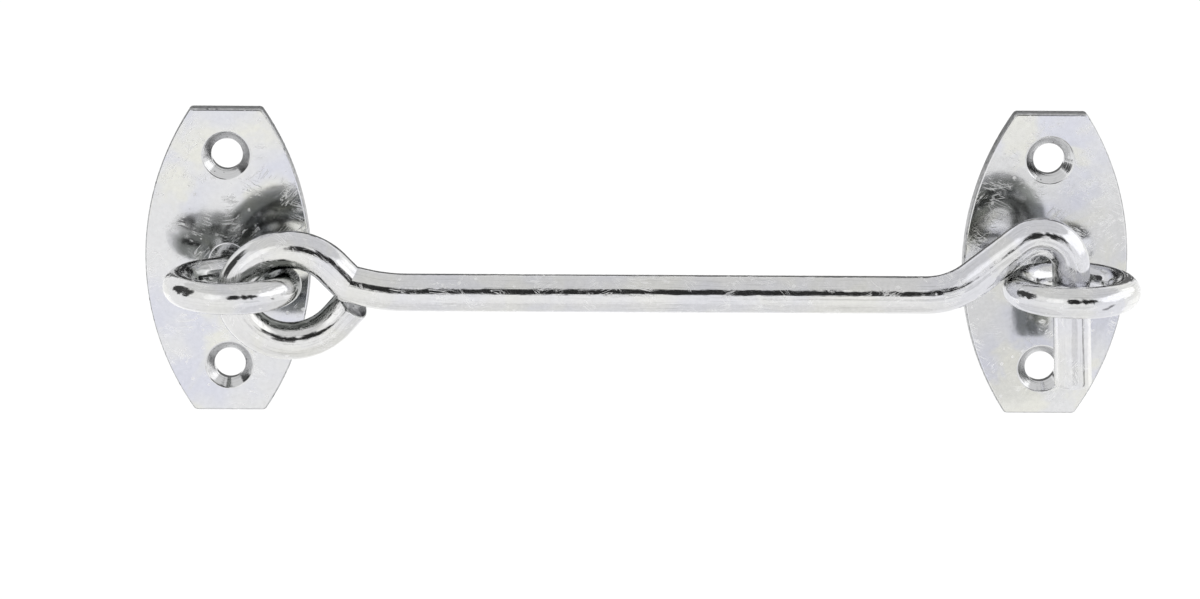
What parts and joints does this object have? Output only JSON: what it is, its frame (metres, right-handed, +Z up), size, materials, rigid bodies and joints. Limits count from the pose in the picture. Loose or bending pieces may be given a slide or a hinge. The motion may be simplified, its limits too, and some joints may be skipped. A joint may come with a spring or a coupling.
{
  "type": "cabin hook",
  "caption": "Door hook: a bent rod linked through a wire eye on one screw-on plate drops its nose into a matching eye on the other plate to hold a door or shutter.",
  "frame": {"origin": "middle of the hinge plate's back face, on the wall, halfway between its screw holes", "axes": "+X from the hinge plate to the keeper plate, -Y out of the wall towards the user, +Z up"},
  "size_m": [0.1603, 0.0295, 0.0506],
  "materials": {
    "plate_zinc": "bright zinc plate over stamped steel, with fine scratches",
    "wire_zinc": "bright zinc plate over bent steel wire",
    "rod_zinc": "bright zinc plate over bent steel rod"
  },
  "bodies": {
    "plates": {"hinge_plate": "plate_zinc", "hinge_eye": "wire_zinc", "keeper_plate": "plate_zinc", "keeper_eye": "wire_zinc"},
    "hook": {"hook": "rod_zinc"}
  },
  "joints": [
    {"name": "hook_lift", "type": "hinge", "parent": "plates", "child": "hook", "pos_m": [0.0104, -0.0185, 0], "axis": [0, -1, 0], "range_deg": [0, 150]}
  ]
}
